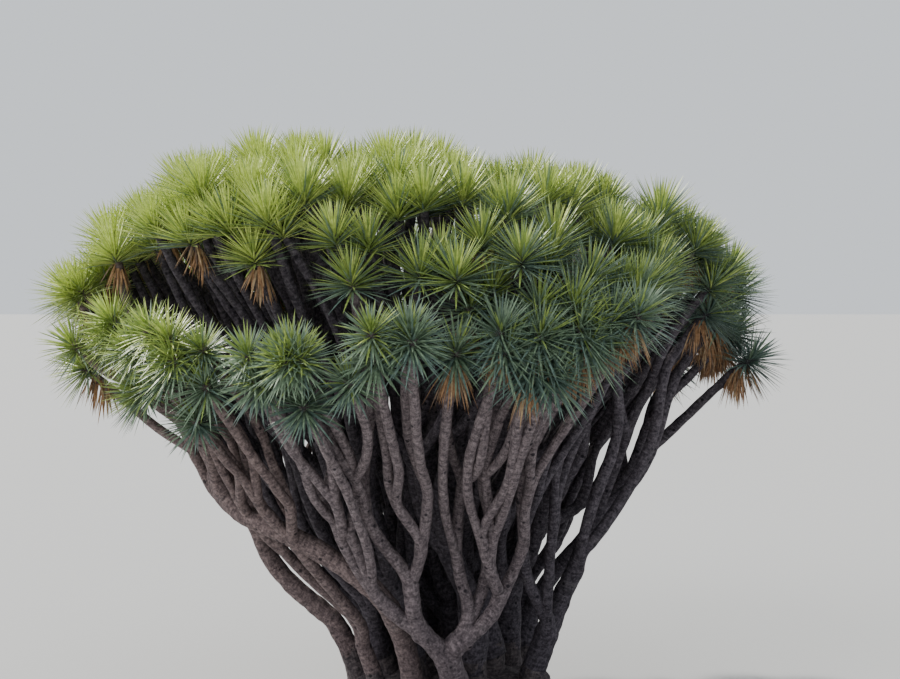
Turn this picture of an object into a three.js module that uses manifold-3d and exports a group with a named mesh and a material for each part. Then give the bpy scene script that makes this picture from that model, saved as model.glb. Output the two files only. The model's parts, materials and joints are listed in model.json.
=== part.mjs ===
// A dragon tree that divides close to the ground, modelled at its real size in millimetres, +Z up.
// The origin is the middle of the flat cut under the trunk, at ground level, and -Y is the side
// that the tree is looked at from. Its stems rise from a short thick trunk, lean out into a funnel,
// fork again and again, and carry a dome of stiff pointed leaves on their tips.
import * as THREE from "three";
import { mergeVertices } from "three/addons/utils/BufferGeometryUtils.js";
import Module from "manifold-3d";

const wasm = await Module();
wasm.setup();

const { abs, acos, atan2, ceil, cos, exp, floor, hypot, max, min, PI, sign, sin, sqrt } = Math;
const radians = THREE.MathUtils.degToRad;

// Crown: the dome on which the hearts of the leaf sprays lie
const CROWN_HALF_WIDTH = 3340;
const CROWN_HALF_DEPTH = 3220;
const CROWN_WIDEST_HEIGHT = 3750;
const CROWN_RISE = 1870;
const CROWN_RIM_ANGLE = radians(98);
const CROWN_SHIFT_X = -330;
const CROWN_TILT = -0.07;
const UNEVEN_REACH = 0.025;

// Stems: where they stand on the trunk, how they set off and how they arrive at the crown
const FOOT_RADIUS = 960;
const FOOT_HEIGHT = 150;
const FOOT_SPACING = 0.39;
const FOOT_LIMIT = 0.93;
const FOOT_PASSES = 60;
const RISE_AT_FOOT = 1200;
const MORE_RISE_IN_MIDDLE = 650;
const SPREAD_AT_FOOT = 250;
const ARRIVAL_LENGTH = 1500;
const ARRIVAL_LEAN = radians(50);
const SWAY = 60;

// Shares of the way from foot to crown at which limbs begin, turn, fork and end
const COLLAR_END = 0.12;
const BEND_SPAN = 0.17;
const LEAN_OUT = 0.2;
const BOUGH_FORK = 0.22;
const BOUGH_BEND_SPAN = 0.28;
const BOUGH_END = 0.38;
const UNEVEN_BOUGHS = 0.05;
const FORK_PAST_BOUGH = 0.07;
const LATER_FORKS = [0.57, 0.68, 0.78, 0.86];
const UNEVEN_FORKS = 0.02;
const KNOT_SPACING = 0.19;

// The rim's boughs lean out past the middles of their masses
const RIM_LEAN = 1.12;

// The limb that sets off at the front and swings to the left rim, across one that is drawn in
const CROSSING_MASS = "rim_12";
const CROSSING_FOOT_ANGLE = radians(-20);
const CROSSING_SWING = { at: 0.3, span: 0.52, out: 1.2, angle: radians(-68) };
const CROSSED_MASS = "rim_13";
const CROSSED_OUT = 0.78;
const CROSSING_END = 0.5;

// Thickness: a limb that carries n sprays has the radius TWIG_RADIUS * n ^ THICKENING
const TWIG_RADIUS = 62;
const THICKENING = 0.37;
const COLLAR_SWELL = 1.15;
const COLLAR_FLARE = 1.12;
const STEM_TAPER = 0.97;
const TWIG_TAPER = 0.85;

// Trunk
const TRUNK_HEIGHT = 440;
const TRUNK_RISE_IN_MIDDLE = 160;
const TRUNK_RADIUS = 1080;
const TRUNK_TAPER = 0.25;
const FLARE_RADIUS = 200;
const FLARE_HEIGHT = 170;
const FLARE_LOBES = [
  { count: 9, share: 0.35, turn: 0 },
  { count: 5, share: 0.25, turn: 1 },
];

// Foliage: the sprays, the patches of crown that they are shared out to, and the gap between the
// upper and the lower tier on the side that is looked at
const SPRAY_COUNT = 105;
const SPRAY_REACH = 550;
const UNEVEN_LEAVES = 0.12;
const SHORTEST_LEAF = 250;
const HEART_RADIUS = 170;
const SPOT_JITTER = 0.035;
const RINGS = [
  { name: "top", count: 1, pairs: 0, turn: 0 },
  { name: "inner", count: 5, pairs: 1, turn: 0.4 },
  { name: "middle", count: 9, pairs: 3, turn: 0.1 },
  { name: "rim", count: 13, pairs: 5, turn: -0.35 },
];
const TIER_GAP = { angle: radians(-32), width: radians(42), out: 0.78, open: 0.09, range: 0.3 };

// Clearances, and the largest sliver that is smoothed away where limbs are joined
const JOINT_GAP = 0.3;
const LEAF_CLEARANCE = 12;
const SLIVER = 5;

// How finely the faceted solids are drawn
const TRUNK_SIDES = 28;
const TRUNK_STEPS = 2;
const BOUGH_SIDES = 7;
const BOUGH_STEPS = 5;
const STEM_SIDES = 6;

const GOLDEN_ANGLE = PI * (3 - sqrt(5));

// A seeded draw between 0 and 1, the same on every run
let seed = 20117;
function draw() {
  seed = (seed * 48271) % 2147483647;
  return seed / 2147483647;
}
const around = (spread) => (draw() * 2 - 1) * spread;
const unit = (value) => min(1, max(0, value));
const easeOut = (s) => 1 - (1 - unit(s)) ** 2;
const easeInOut = (s) => THREE.MathUtils.smoothstep(s, 0, 1);
function cubic(a, b, c, d, s) {
  const r = 1 - s;
  return a * r * r * r + 3 * b * r * r * s + 3 * c * r * s * s + d * s * s * s;
}

// The point of the funnel at a spot of the unit disc and a share of the way from foot to crown:
// a cubic curve in the upright plane of the spot, with the crown moved, tilted and a little wavy.
function stemPoint(spot, share) {
  const out = max(spot.length(), 1e-6);
  const polar = acos(1 - out * out * (1 - cos(CROWN_RIM_ANGLE)));
  const lean = ARRIVAL_LEAN * out;
  const foot = FOOT_RADIUS * out;
  const [reachX, reachY] = [CROWN_HALF_WIDTH, CROWN_HALF_DEPTH].map((half) => {
    const tip = half * sin(polar);
    return cubic(foot, foot + SPREAD_AT_FOOT * out, tip - ARRIVAL_LENGTH * sin(lean), tip, share);
  });
  const rise = RISE_AT_FOOT + MORE_RISE_IN_MIDDLE * (1 - out * out);
  const top = CROWN_WIDEST_HEIGHT + CROWN_RISE * cos(polar);
  const moved = easeOut(share);
  const x = (reachX * spot.x) / out + CROWN_SHIFT_X * moved;
  const y = (reachY * spot.y) / out;
  const z =
    cubic(FOOT_HEIGHT, FOOT_HEIGHT + rise, top - ARRIVAL_LENGTH * cos(lean), top, share) +
    CROWN_TILT * x * moved;
  const sway = SWAY * unit(share * 3);
  return new THREE.Vector3(
    x + sway * sin(z / 310 + y / 420),
    y + sway * cos(z / 350 + x / 380),
    z,
  );
}

// A limb starts over its foot's spot, and at each of its turns bends towards another spot. Limbs
// that fork have their first turns in common, so that each leaves the other from its axis.
function limbPoint(limb, share) {
  const spot = limb.foot.clone();
  for (const { at, span = BEND_SPAN, ease = easeOut, to } of limb.turns) {
    spot.lerp(to, ease((share - at) / span));
  }
  return stemPoint(spot, share);
}
// The way ahead on a limb, with two directions across it
function limbFrame(limb, share) {
  const step = 1e-3;
  const ahead = limbPoint(limb, share + step).sub(limbPoint(limb, share - step)).normalize();
  const side = new THREE.Vector3(1, 0, 0).addScaledVector(ahead, -ahead.x).normalize();
  return { ahead, side, across: new THREE.Vector3().crossVectors(ahead, side) };
}
const limbShare = (limb, along) => limb.start + (limb.end - limb.start) * along;
const limbRadius = (limb, along) =>
  limb.startRadius + (limb.endRadius - limb.startRadius) * along;
const radiusFor = (count) => TWIG_RADIUS * count ** THICKENING;

// The shares at which a limb is drawn: its ends and its turns, with others evenly between them
function knotsOf(limb) {
  const turns = limb.turns.map(({ at }) => at).filter((at) => at > limb.start && at < limb.end);
  const corners = [limb.start, ...turns, limb.end];
  const knots = corners.slice(1).flatMap((to, k) => {
    const from = corners[k];
    const count = ceil((to - from) / KNOT_SPACING);
    return [...Array(count).keys()].map((j) => from + ((to - from) * j) / count);
  });
  return [...knots, limb.end];
}

// A tapered limb: the rings of a closed cylinder laid across the limb's path. It can be made
// fatter all along, and its start can be moved on by a shift.
function limbGeometry(limb, { sides = BOUGH_SIDES, steps, fatter = 0, shift = 0 }) {
  const tube = new THREE.CylinderGeometry(1, 1, 1, sides, steps);
  const position = tube.attributes.position;
  for (let i = 0; i < position.count; i++) {
    const along = position.getY(i) + 0.5;
    const share = limbShare(limb, along);
    const { ahead, side, across } = limbFrame(limb, share);
    const radius = limbRadius(limb, along) + fatter;
    const point = limbPoint(limb, share)
      .addScaledVector(ahead, shift * (1 - along))
      .addScaledVector(side, radius * position.getX(i))
      .addScaledVector(across, -radius * position.getZ(i));
    position.setXYZ(i, ...point);
  }
  return tube;
}

// The heart of a spray is an icosahedron
const heartFaces = new THREE.IcosahedronGeometry(HEART_RADIUS, 0).attributes.position;
const heartCorners = (face) =>
  [0, 1, 2].map((k) => new THREE.Vector3().fromBufferAttribute(heartFaces, face * 3 + k));
const faceWays = [...Array(heartFaces.count / 3).keys()].map((face) =>
  heartCorners(face)
    .reduce((sum, corner) => sum.add(corner))
    .normalize(),
);

// A spray: its three-sided twig ends on the first face of the heart, and a leaf spike stands on
// each of the others, so that twig, heart and spikes are one closed surface.
function sprayGeometry({ twig, heart, frame, spikes }) {
  const points = [];
  const placed = (face) => heartCorners(face).map((c) => c.applyQuaternion(frame).add(heart));
  spikes.forEach(({ way, length }, face) => {
    if (face === 0) return;
    const corners = placed(face);
    if (!length) {
      points.push(...corners);
      return;
    }
    const tip = heart.clone().addScaledVector(way, length);
    corners.forEach((corner, k) => points.push(corner, corners[(k + 1) % 3], tip));
  });
  const last = placed(0);
  const end = limbFrame(twig, twig.end);
  const angles = last.map((corner) => {
    const arm = corner.clone().sub(heart);
    return atan2(arm.dot(end.across), arm.dot(end.side));
  });
  const knots = knotsOf(twig).slice(0, -1);
  const rings = knots.map((share, step) => {
    const { ahead, side, across } = limbFrame(twig, share);
    const sunk = step === 0 ? twig.startRadius : 0;
    const middle = limbPoint(twig, share).addScaledVector(ahead, -sunk);
    const radius = limbRadius(twig, (share - twig.start) / (twig.end - twig.start));
    return angles.map((angle) =>
      middle
        .clone()
        .addScaledVector(side, radius * cos(angle))
        .addScaledVector(across, radius * sin(angle)),
    );
  });
  rings.push(last);
  points.push(...rings[0]);
  for (let step = 0; step < knots.length; step++) {
    const [near, far] = [rings[step], rings[step + 1]];
    for (const [k, next] of [[0, 1], [1, 2], [2, 0]]) {
      points.push(far[k], far[next], near[next], far[k], near[next], near[k]);
    }
  }
  return new THREE.BufferGeometry().setFromPoints(points);
}

function solidOf(geometry) {
  const soup = geometry.index ? geometry.toNonIndexed() : geometry;
  const bare = new THREE.BufferGeometry().setAttribute("position", soup.attributes.position);
  const merged = mergeVertices(bare, 1e-2);
  return new wasm.Manifold(
    new wasm.Mesh({
      numProp: 3,
      vertProperties: new Float32Array(merged.attributes.position.array),
      triVerts: new Uint32Array(merged.index.array),
    }),
  );
}
function geometryOf(solid) {
  const { vertProperties, triVerts } = solid.getMesh();
  const geometry = new THREE.BufferGeometry();
  geometry.setAttribute("position", new THREE.BufferAttribute(vertProperties, 3));
  geometry.setIndex(new THREE.BufferAttribute(triVerts, 1));
  geometry.computeVertexNormals();
  return geometry;
}
const fuse = (solids) => solids.reduce((whole, next) => whole.add(next));
const largest = (solid) =>
  solid.decompose().reduce((best, one) => (one.volume() > best.volume() ? one : best));

// Spots of the disc: an angle of 0 is the side that the tree is looked at from
const discSpot = (out, angle) => new THREE.Vector2(out * sin(angle), -out * cos(angle));
const meanSpot = (list) =>
  list.reduce((sum, one) => sum.add(one.spot), new THREE.Vector2()).divideScalar(list.length);

// Sprays: spread evenly by the golden angle, a little out of line, and drawn back from the gap
// between the two tiers
const sprays = [];
for (let k = 0; k < SPRAY_COUNT; k++) {
  const spot = discSpot(sqrt((k + 0.5) / SPRAY_COUNT), k * GOLDEN_ANGLE);
  spot.x += around(SPOT_JITTER);
  spot.y += around(SPOT_JITTER);
  const out = spot.length();
  const aside = abs(atan2(spot.x, -spot.y) - TIER_GAP.angle) / TIER_GAP.width;
  const away = out - TIER_GAP.out;
  const push = TIER_GAP.open * unit(2 - 2 * aside) * unit(1 - abs(away) / TIER_GAP.range);
  spot.setLength(out + sign(away) * push);
  sprays.push({ spot });
}

// Masses: patches of the crown in rings, each of which takes the sprays nearest to its middle
const masses = [];
const massCount = RINGS.reduce((sum, ring) => sum + ring.count, 0);
for (const ring of RINGS) {
  const out = ring.count > 1 ? sqrt((masses.length + ring.count / 2) / massCount) : 0;
  for (let k = 0; k < ring.count; k++) {
    const number = ring.count > 1 ? "_" + String(k + 1).padStart(2, "0") : "";
    const middle = discSpot(out, ((k + ring.turn) * 2 * PI) / ring.count);
    const second = k < 2 * ring.pairs && k % 2 === 1;
    masses.push({ name: ring.name + number, middle, second, sprays: [] });
  }
}
for (const spray of sprays) {
  const away = (mass) => mass.middle.distanceTo(spray.spot);
  masses.reduce((best, one) => (away(one) < away(best) ? one : best)).sprays.push(spray);
}

// Boughs: one to each mass. The second of a pair leaves the first one's side.
const boughs = [];
for (const mass of masses) {
  const outwards = mass.name.startsWith("rim") ? RIM_LEAN : 1;
  const own = meanSpot(mass.sprays).multiplyScalar(outwards);
  const count = mass.sprays.length;
  const bough = { name: "bough_" + mass.name, mass, end: BOUGH_END + around(UNEVEN_BOUGHS) };
  bough.endRadius = radiusFor(count);
  if (mass.second) {
    const parent = boughs[boughs.length - 1];
    const fork = BOUGH_FORK + around(UNEVEN_BOUGHS);
    const both = meanSpot([...parent.mass.sprays, ...mass.sprays]).multiplyScalar(outwards);
    const span = BOUGH_BEND_SPAN;
    const early = { at: LEAN_OUT - BEND_SPAN / 2, to: both };
    parent.turns = [early, { at: fork, span, to: parent.turns[0].to }];
    parent.foot.copy(both);
    parent.startRadius = radiusFor(parent.mass.sprays.length + count) * COLLAR_SWELL;
    const turns = [early, { at: fork, span, to: own }];
    const startRadius = bough.endRadius * COLLAR_SWELL;
    Object.assign(bough, { parent, foot: parent.foot, turns, start: fork, startRadius });
  } else {
    const crossing = mass.name === CROSSING_MASS;
    const foot = crossing ? discSpot(FOOT_LIMIT, CROSSING_FOOT_ANGLE) : own.clone();
    const { at, out, angle, span } = CROSSING_SWING;
    const swing = { at, span, to: discSpot(out, angle), ease: easeInOut };
    const lean = { at: LEAN_OUT, to: own.clone() };
    if (mass.name === CROSSED_MASS) lean.to.setLength(CROSSED_OUT);
    const turns = [crossing ? swing : lean];
    const startRadius = bough.endRadius * COLLAR_SWELL;
    Object.assign(bough, { foot, turns, start: COLLAR_END, startRadius });
    if (crossing) bough.end = CROSSING_END;
  }
  boughs.push(bough);
}

// Feet: the stems that stand on the trunk push each other apart until none is crowded
const feet = boughs.filter((bough) => !bough.parent).map((bough) => bough.foot);
for (let pass = 0; pass < FOOT_PASSES; pass++) {
  for (const a of feet) {
    for (const b of feet) {
      const apart = a.distanceTo(b);
      if (a === b || apart > FOOT_SPACING) continue;
      const push = b.clone().sub(a).setLength((FOOT_SPACING - apart) / 4);
      a.sub(push);
      b.add(push);
    }
    if (a.length() > FOOT_LIMIT) a.setLength(FOOT_LIMIT);
  }
}

// Twigs: a limb that carries several sprays forks between the halves of its set. The first half
// goes on with the limb itself, and a new twig leaves it for the second.
function halves(list) {
  const middle = meanSpot(list);
  const spread = (way) =>
    list.reduce((sum, one) => sum + one.spot.clone().sub(middle).dot(way) ** 2, 0);
  const ways = [...Array(6).keys()].map((k) => discSpot(1, (k * PI) / 6));
  const widest = ways.reduce((best, way) => (spread(way) > spread(best) ? way : best));
  const sorted = [...list].sort((a, b) => a.spot.dot(widest) - b.spot.dot(widest));
  const cut = floor(sorted.length / 2);
  return draw() < 0.5
    ? [sorted.slice(0, cut), sorted.slice(cut)]
    : [sorted.slice(cut), sorted.slice(0, cut)];
}
function grow(list, limb, forks) {
  if (list.length === 1) {
    const [spray] = list;
    const endRadius = TWIG_RADIUS * TWIG_TAPER;
    Object.assign(spray, { twig: { ...limb, end: 1 + around(UNEVEN_REACH), endRadius } });
    return;
  }
  const fork = forks[0] + around(UNEVEN_FORKS);
  const [first, second] = halves(list);
  const towards = (half) => [...limb.turns, { at: fork, to: meanSpot(half) }];
  grow(first, { ...limb, turns: towards(first) }, forks.slice(1));
  const startRadius = radiusFor(second.length);
  grow(second, { ...limb, turns: towards(second), start: fork, startRadius }, forks.slice(1));
}
for (const { mass, foot, turns, end, endRadius } of boughs) {
  const fork = end + FORK_PAST_BOUGH;
  const radius = endRadius * STEM_TAPER;
  mass.stem = { foot, turns, start: end, end: fork, startRadius: endRadius, endRadius: radius };
  const limb = { foot, turns, start: fork - UNEVEN_FORKS, startRadius: radius };
  grow(mass.sprays, limb, [fork, ...LATER_FORKS]);
}

// Every limb as short straight pieces, against which the leaves are kept clear
const rods = [];
function addRods(limb, owner, steps) {
  const points = [...Array(steps + 1).keys()].map((k) => limbPoint(limb, limbShare(limb, k / steps)));
  for (let k = 0; k < steps; k++) {
    const line = new THREE.Line3(points[k], points[k + 1]);
    rods.push({ owner, line, radius: limbRadius(limb, k / steps) });
  }
}
for (const bough of boughs) addRods(bough, bough, 6);
for (const mass of masses) addRods(mass.stem, mass, 2);
for (const spray of sprays) addRods(spray.twig, spray, 6);

// Leaf spikes: as long as SPRAY_REACH, but each stays on its own side of the half-way plane to
// every other spray and clear of every limb but its own twig, and is left out if little remains.
function clearOfLimbs(spray, way, length) {
  const nearest = new THREE.Vector3();
  return rods.every((rod) => {
    if (rod.owner === spray) return true;
    return [1, 2, 3, 4, 5, 6].every((k) => {
      const along = k / 6;
      const point = spray.heart.clone().addScaledVector(way, length * along);
      rod.line.closestPointToPoint(point, true, nearest);
      const half = HEART_RADIUS * 0.6 * (1 - along);
      return point.distanceTo(nearest) > rod.radius + half + LEAF_CLEARANCE;
    });
  });
}
for (const spray of sprays) {
  const { twig } = spray;
  spray.heart = limbPoint(twig, twig.end);
  spray.axis = limbFrame(twig, twig.end).ahead;
}
for (const spray of sprays) {
  const { heart, axis } = spray;
  spray.frame = new THREE.Quaternion().setFromUnitVectors(faceWays[0], axis.clone().negate());
  spray.frame.premultiply(new THREE.Quaternion().setFromAxisAngle(axis, draw() * 2 * PI));
  spray.spikes = faceWays.map((face) => {
    const way = face.clone().applyQuaternion(spray.frame);
    let length = SPRAY_REACH * (1 - UNEVEN_LEAVES * draw());
    for (const other of sprays) {
      if (other === spray) continue;
      const gap = other.heart.clone().sub(heart);
      const apart = gap.length();
      const toward = way.dot(gap) / apart;
      if (toward > 0) length = min(length, (apart / 2 - LEAF_CLEARANCE) / toward);
    }
    while (length > SHORTEST_LEAF && !clearOfLimbs(spray, way, length)) length *= 0.8;
    return { way, length: length > SHORTEST_LEAF ? length : 0 };
  });
}

// Materials
const bark = new THREE.MeshStandardMaterial({ color: 0x7a6a5e, roughness: 0.95, metalness: 0 });
const leaf = new THREE.MeshStandardMaterial({ color: 0x4f7a35, roughness: 0.6, metalness: 0 });

const tree = new THREE.Group();
tree.name = "dragon_tree";
function addNode(name, solid, material) {
  const mesh = new THREE.Mesh(geometryOf(solid), material);
  mesh.name = name;
  tree.add(mesh);
}

// Trunk: a short lobed cone with its root flare, from which the collars of the stems stand up
function trunkSolid() {
  const body = new THREE.CylinderGeometry(1, 1, 1, TRUNK_SIDES, TRUNK_STEPS);
  const position = body.attributes.position;
  for (let i = 0; i < position.count; i++) {
    const height = (position.getY(i) + 0.5) * TRUNK_HEIGHT;
    const [x, y] = [position.getX(i), -position.getZ(i)];
    const middle = hypot(x, y) < 0.5;
    const angle = middle ? 0 : atan2(y, x);
    const lobes = FLARE_LOBES.map(({ count, share, turn }) => share * sin(count * angle + turn));
    const flare = FLARE_RADIUS * lobes.reduce((sum, lobe) => sum + lobe, 1);
    const radius = TRUNK_RADIUS - TRUNK_TAPER * height + flare * exp(-height / FLARE_HEIGHT);
    const rise = middle && height > 0 ? TRUNK_RISE_IN_MIDDLE : 0;
    position.setXYZ(i, x * radius, y * radius, height + rise);
  }
  const collars = boughs
    .filter((bough) => !bough.parent)
    .map(({ foot, turns, startRadius }) => {
      const flared = { startRadius: startRadius * COLLAR_FLARE, endRadius: startRadius };
      return solidOf(limbGeometry({ foot, turns, start: 0, end: COLLAR_END, ...flared }, { steps: 1 }));
    });
  return fuse([solidOf(body), ...collars]);
}
addNode("trunk", trunkSolid(), bark);

for (const bough of boughs) {
  const shift = bough.parent ? 0 : JOINT_GAP;
  let solid = solidOf(limbGeometry(bough, { steps: BOUGH_STEPS, shift }));
  if (bough.parent) {
    const cutter = limbGeometry(bough.parent, { steps: BOUGH_STEPS, fatter: JOINT_GAP });
    solid = largest(solid.subtract(solidOf(cutter)));
  }
  addNode(bough.name, solid, bark);
}
for (const mass of masses) {
  const drawn = { sides: STEM_SIDES, steps: 1, shift: JOINT_GAP };
  const stem = solidOf(limbGeometry(mass.stem, drawn));
  const tips = mass.sprays.map((spray) => solidOf(sprayGeometry(spray)));
  addNode("foliage_" + mass.name, fuse([stem, ...tips]).simplify(SLIVER), leaf);
}

export default tree;
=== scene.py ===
# An old dragon tree with a funnel of forking stems and a dome of sword-shaped leaves.
# The sections follow the tree as it grows: trunk, boughs, twigs, living leaves, dead leaves.
import json
import math

import bpy
import numpy as np
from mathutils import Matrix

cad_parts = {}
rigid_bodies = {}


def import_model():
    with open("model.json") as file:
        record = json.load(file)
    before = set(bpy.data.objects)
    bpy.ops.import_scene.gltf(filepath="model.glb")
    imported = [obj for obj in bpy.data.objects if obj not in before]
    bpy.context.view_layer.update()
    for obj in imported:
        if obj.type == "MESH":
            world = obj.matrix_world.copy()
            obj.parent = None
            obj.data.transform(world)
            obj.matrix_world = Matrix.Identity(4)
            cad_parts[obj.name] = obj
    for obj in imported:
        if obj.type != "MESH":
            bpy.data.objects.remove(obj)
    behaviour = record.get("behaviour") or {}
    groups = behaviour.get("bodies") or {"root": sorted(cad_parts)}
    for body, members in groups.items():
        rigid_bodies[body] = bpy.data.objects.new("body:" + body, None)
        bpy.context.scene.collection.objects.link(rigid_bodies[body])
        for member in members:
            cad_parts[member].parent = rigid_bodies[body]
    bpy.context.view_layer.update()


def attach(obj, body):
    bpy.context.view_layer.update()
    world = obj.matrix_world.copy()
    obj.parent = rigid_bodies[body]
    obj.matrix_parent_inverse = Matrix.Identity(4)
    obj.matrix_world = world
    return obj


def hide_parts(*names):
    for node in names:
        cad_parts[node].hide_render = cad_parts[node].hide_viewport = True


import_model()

# Camera
# The tree is seen from a slope, level with the underside of its crown, from 13 m away. The focal
# length gives the tree the size that it has in an image 900 pixels wide.
EYE = (0.0, -13.0, 4.4)
EYE_PITCH = math.radians(-1.97)
IMAGE_WIDTH_PX = 900
FOCAL_PX = 1235
camera_data = bpy.data.cameras.new("camera")
camera_data.sensor_width = 36.0
camera_data.lens = FOCAL_PX / IMAGE_WIDTH_PX * camera_data.sensor_width
camera_data.clip_end = 900.0
camera = bpy.data.objects.new("camera", camera_data)
camera.location = EYE
camera.rotation_euler = (math.pi / 2 + EYE_PITCH, 0.0, 0.0)
bpy.context.scene.collection.objects.link(camera)
bpy.context.scene.camera = camera

# Floor and light
# A plain pale floor that runs out of sight under plain pale air. A soft lamp stands high behind
# the tree's left side, as the sun does, and a weak wide one stands at the camera's left. Each lamp
# has its strength, its spread and its turns in degrees, and its colour.
FLOOR_HALF = 300.0
FLOOR_COLOR = (0.36, 0.365, 0.37, 1.0)
AIR_COLOR = (0.9, 0.95, 1.0, 1.0)
AIR_STRENGTH = 0.95
LAMPS = (
    ("sun_lamp", 7.2, 3.0, (-25, -41, 0), (1.0, 0.96, 0.88)),
    ("fill_lamp", 1.5, 40.0, (55, 0, -56), (1.0, 0.96, 0.96)),
)
floor_mesh = bpy.data.meshes.new("floor")
floor_corners = [(-1, -1), (1, -1), (1, 1), (-1, 1)]
floor_points = [(x * FLOOR_HALF, y * FLOOR_HALF, 0) for x, y in floor_corners]
floor_mesh.from_pydata(floor_points, [], [(0, 1, 2, 3)])
floor = bpy.data.objects.new("floor", floor_mesh)
bpy.context.scene.collection.objects.link(floor)
floor_material = bpy.data.materials.new("pale_floor")
floor_material.use_nodes = True
floor_shader = floor_material.node_tree.nodes["Principled BSDF"]
floor_shader.inputs["Base Color"].default_value = FLOOR_COLOR
floor_shader.inputs["Roughness"].default_value = 0.95
floor_mesh.materials.append(floor_material)

air = bpy.data.worlds.new("air")
air.use_nodes = True
air.node_tree.nodes["Background"].inputs["Color"].default_value = AIR_COLOR
air.node_tree.nodes["Background"].inputs["Strength"].default_value = AIR_STRENGTH
bpy.context.scene.world = air

for name, energy, spread, turn, color in LAMPS:
    lamp_data = bpy.data.lights.new(name, "SUN")
    lamp_data.energy = energy
    lamp_data.angle = math.radians(spread)
    lamp_data.color = color
    lamp = bpy.data.objects.new(name, lamp_data)
    lamp.rotation_euler = [math.radians(degrees) for degrees in turn]
    bpy.context.scene.collection.objects.link(lamp)

# Trunk
# The stems of an old dragon tree grow together at the foot into a short fluted bole of soft
# fibrous wood. Its bark is grey-brown and cracked, and it stands on the ground on a flat cut.
# A seeded rule shares the domed crown out to sprays and leads the stems to them from their feet.
CROWN_HALF = np.array([3.34, 3.22])
CROWN_WIDEST_HEIGHT = 3.75
CROWN_RISE = 1.87
CROWN_RIM_ANGLE = math.radians(98)
CROWN_SHIFT_X = -0.33
CROWN_TILT = -0.07
FOOT_RADIUS = 0.96
FOOT_HEIGHT = 0.15
FOOT_SPACING = 0.39
FOOT_LIMIT = 0.93
FOOT_PASSES = 60
RISE_AT_FOOT = 1.2
MORE_RISE_IN_MIDDLE = 0.65
SPREAD_AT_FOOT = 0.25
ARRIVAL_LENGTH = 1.5
ARRIVAL_LEAN = math.radians(50)
SWAY = 0.06
SWAY_LENGTHS = (0.31, 0.42, 0.35, 0.38)
FULL_SWAY_FROM = 1 / 3
LOWER_LEFT_FULLNESS = 0.2
LEFT_GROWTH = 1.6
FULLNESS_SHARES = (0.2, 0.74)
COLLAR_END = 0.12
BEND_SPAN = 0.17
LEAN_OUT = 0.2
BOUGH_FORK = 0.22
BOUGH_BEND_SPAN = 0.28
BOUGH_END = 0.38
UNEVEN_BOUGHS = 0.05
RIM_LEAN = 1.12
CROSSING_MASS = "rim_12"
CROSSING_FOOT_ANGLE = math.radians(-20)
CROSSING_SWING = {"at": 0.3, "span": 0.52, "out": 1.2, "angle": math.radians(-68)}
CROSSING_END = 0.5
CROSSED_MASS = "rim_13"
CROSSED_OUT = 0.78
STEM_RADIUS = 0.06
STEM_THICKENING = 0.33
COLLAR_SWELL = 1.15
COLLAR_FLARE = 0.95
INNER_STOUTNESS = 1.2
SPRAY_COUNT = 105
SPOT_JITTER = 0.035
RINGS = (("top", 1, 0, 0.0), ("inner", 5, 1, 0.4), ("middle", 9, 3, 0.1), ("rim", 13, 5, -0.35))
TIER_GAP = {"angle": math.radians(-32), "width": math.radians(42), "out": 0.78, "open": 0.09, "range": 0.3}
GOLDEN_ANGLE = math.pi * (3 - math.sqrt(5))
TRUNK_RINGS = 40
TRUNK_PROFILE = (
    (0.0, 0.05, 0.11, 0.2, 0.32, 0.44, 0.52, 0.57, 0.6),
    (1.25, 1.17, 1.1, 1.04, 0.99, 0.88, 0.6, 0.32, 0.02),
)
FLUTE_HEIGHT = 0.2
FLUTE_WIDTH = math.radians(10)
FLUTE_FLOOR = 0.45
FLUTES_BEYOND = 0.6
FLUTES_FADE_AT = 0.4
FLUTES_FADE_SPAN = 0.5
TRUNK_SIDES = 192
TRUNK_LUMPS = 1.4
LUMPS_FROM_HEIGHT = 0.05
TRUNK_BARK_RADIUS = 1.1
COLLAR_SUNK = 0.17
COLLAR_LAP = 0.004
COLLAR_STEP = 0.024
LIMB_SIDES = {0.1: 24, 0.07: 16, 0.0: 10}
LIMB_LENGTH = 6.2
LENGTH_SAMPLES = 9
BARK_LUMPS = ((0.34, 0.0035), (0.15, 0.0025), (0.075, 0.0018))
LUMP_WAVES = 7
LUMP_STRETCH = (0.75, 1.3)
FULL_LUMPS_FROM = 0.1
FEWEST_LUMPS = 0.45
# The foot's own bark, then lit and shadowed copies of one bark for the stems, as painted light: painted
# sunlight for stems at the left, painted half shade in the middle, painted shade at the right and inside the
# rim.
BARK_TONES_WITH_PAINTED_LIGHT = {
    "foot": ((0.014, 0.012, 0.014, 1), (0.07, 0.057, 0.058, 1), (0.19, 0.158, 0.15, 1)),
    "sunned": ((0.028, 0.021, 0.023, 1), (0.125, 0.092, 0.09, 1), (0.31, 0.235, 0.22, 1)),
    "cool": ((0.028, 0.023, 0.028, 1), (0.122, 0.097, 0.102, 1), (0.31, 0.255, 0.26, 1)),
    "shaded": ((0.013, 0.011, 0.015, 1), (0.06, 0.051, 0.06, 1), (0.165, 0.144, 0.162, 1)),
}
BARK_STOPS = (0.62, 0.78, 0.98)
BARK_CRACKS = {"sunned": (60, 22, 1), "cool": (60, 22, 1), "shaded": (60, 22, 1), "foot": (34, 5, 1)}
BARK_SCARS = (9, 42, 1)
# Painted shade low down: the bark's colour is multiplied darker and bluer towards the ground, by a ramp over
# the height as a share of the length below.
LOW_PAINTED_SHADE = ((0.1, (0.62, 0.62, 0.66, 1)), (0.75, (1, 1, 1, 1)))
LOW_PAINTED_SHADE_HEIGHT = 4.0
LICHEN = (0.24, 0.225, 0.21, 1)


def seeded_draws(seed=20117):
    """Numbers between 0 and 1: each seed is the last one times 48271, modulo 2147483647."""
    while True:
        seed = seed * 48271 % 2147483647
        yield seed / 2147483647


draws = seeded_draws()


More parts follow.
